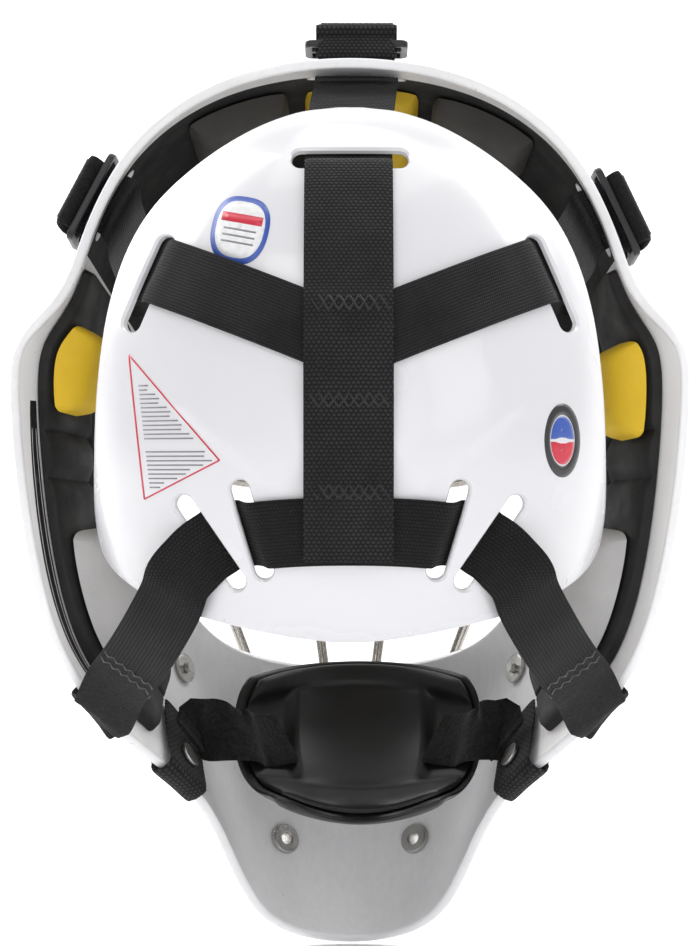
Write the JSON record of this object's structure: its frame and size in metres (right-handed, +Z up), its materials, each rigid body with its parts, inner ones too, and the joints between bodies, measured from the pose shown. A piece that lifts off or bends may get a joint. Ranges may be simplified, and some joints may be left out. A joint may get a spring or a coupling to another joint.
{
  "type": "goalie mask",
  "caption": "Moulded goalie mask with wire face cage, foam liners, a strapped back plate and a chin cup hung on straps",
  "frame": {"origin": "midpoint between the wearer's ears, where the head sits", "axes": "+X towards the wearer's right, +Y the way the wearer looks, +Z up"},
  "size_m": [0.2582, 0.2849, 0.3635],
  "materials": {
    "white_shell": "gloss",
    "cage_steel": "polished",
    "hardware_steel": "satin",
    "black_plastic": "satin",
    "black_moulded": "satin",
    "black_foam": "matte",
    "yellow_foam": "matte",
    "grey_foam": "matte",
    "sweat_fabric": "matte",
    "black_elastic": "matte",
    "black_webbing": "matte"
  },
  "bodies": {
    "mask": {"shell": "white_shell", "cage_rim_wire": "cage_steel", "cage_horizontal_bars": "cage_steel", "cage_vertical_bars": "cage_steel", "cage_clips": "black_plastic", "cage_screws": "hardware_steel", "cage_tee_nuts": "hardware_steel", "throat_guard_eyelets": "hardware_steel", "forehead_foam": "black_foam", "sweatband": "sweat_fabric", "crown_centre_pad": "yellow_foam", "crown_left_pad": "grey_foam", "crown_right_pad": "grey_foam", "left_side_liner": "black_foam", "right_side_liner": "black_foam", "left_temple_pad": "yellow_foam", "right_temple_pad": "yellow_foam", "left_jaw_pad": "grey_foam", "right_jaw_pad": "grey_foam", "crown_web_link": "black_webbing", "upper_left_elastic_link": "black_elastic", "upper_right_elastic_link": "black_elastic", "lower_left_strap_tail": "black_webbing", "lower_right_strap_tail": "black_webbing", "crown_strap_tail": "black_webbing", "left_strap_tail": "black_elastic", "right_strap_tail": "black_elastic", "left_jaw_web": "black_webbing", "right_jaw_web": "black_webbing", "strap_snaps": "hardware_steel", "chin_left_strap": "black_webbing", "chin_right_strap": "black_webbing"},
    "back_plate_group": {"back_plate": "white_shell", "back_plate_foam": "black_foam", "back_plate_upper_pad": "yellow_foam", "back_plate_lower_pad": "black_foam", "centre_webbing": "black_webbing", "upper_elastic": "black_elastic", "lower_elastic": "black_elastic", "lower_left_strap": "black_elastic", "lower_right_strap": "black_elastic"},
    "chin_cup_group": {"chin_cup": "black_moulded", "chin_cup_pad": "black_foam"},
    "crown_buckle_group": {"crown_slide_buckle": "black_plastic", "crown_strap_loop": "black_webbing"},
    "left_buckle_group": {"left_slide_buckle": "black_plastic", "left_strap_loop": "black_elastic"},
    "right_buckle_group": {"right_slide_buckle": "black_plastic", "right_strap_loop": "black_elastic"}
  },
  "joints": [
    {"name": "back_plate_swing", "type": "hinge", "parent": "mask", "child": "back_plate_group", "pos_m": [0, -0.008, 0.15], "axis": [-1, 0, 0], "range_deg": [0, 20], "deforming": ["crown_web_link", "upper_left_elastic_link", "upper_right_elastic_link", "lower_left_strap", "lower_right_strap"]},
    {"name": "chin_cup_tilt", "type": "hinge", "parent": "mask", "child": "chin_cup_group", "pos_m": [0.004, 0.06, -0.104], "axis": [1, 0, 0], "range_deg": [-15, 20], "deforming": ["chin_left_strap", "chin_right_strap"]},
    {"name": "crown_buckle_slide", "type": "slide", "parent": "mask", "child": "crown_buckle_group", "axis": [0, -0.9899, 0.1414], "range_m": [-0.008, 0.006]},
    {"name": "left_buckle_slide", "type": "slide", "parent": "mask", "child": "left_buckle_group", "axis": [-0.0859, -0.9704, 0.2255], "range_m": [-0.008, 0.006]},
    {"name": "right_buckle_slide", "type": "slide", "parent": "mask", "child": "right_buckle_group", "axis": [0.0886, -0.971, 0.2221], "range_m": [-0.008, 0.006]}
  ]
}
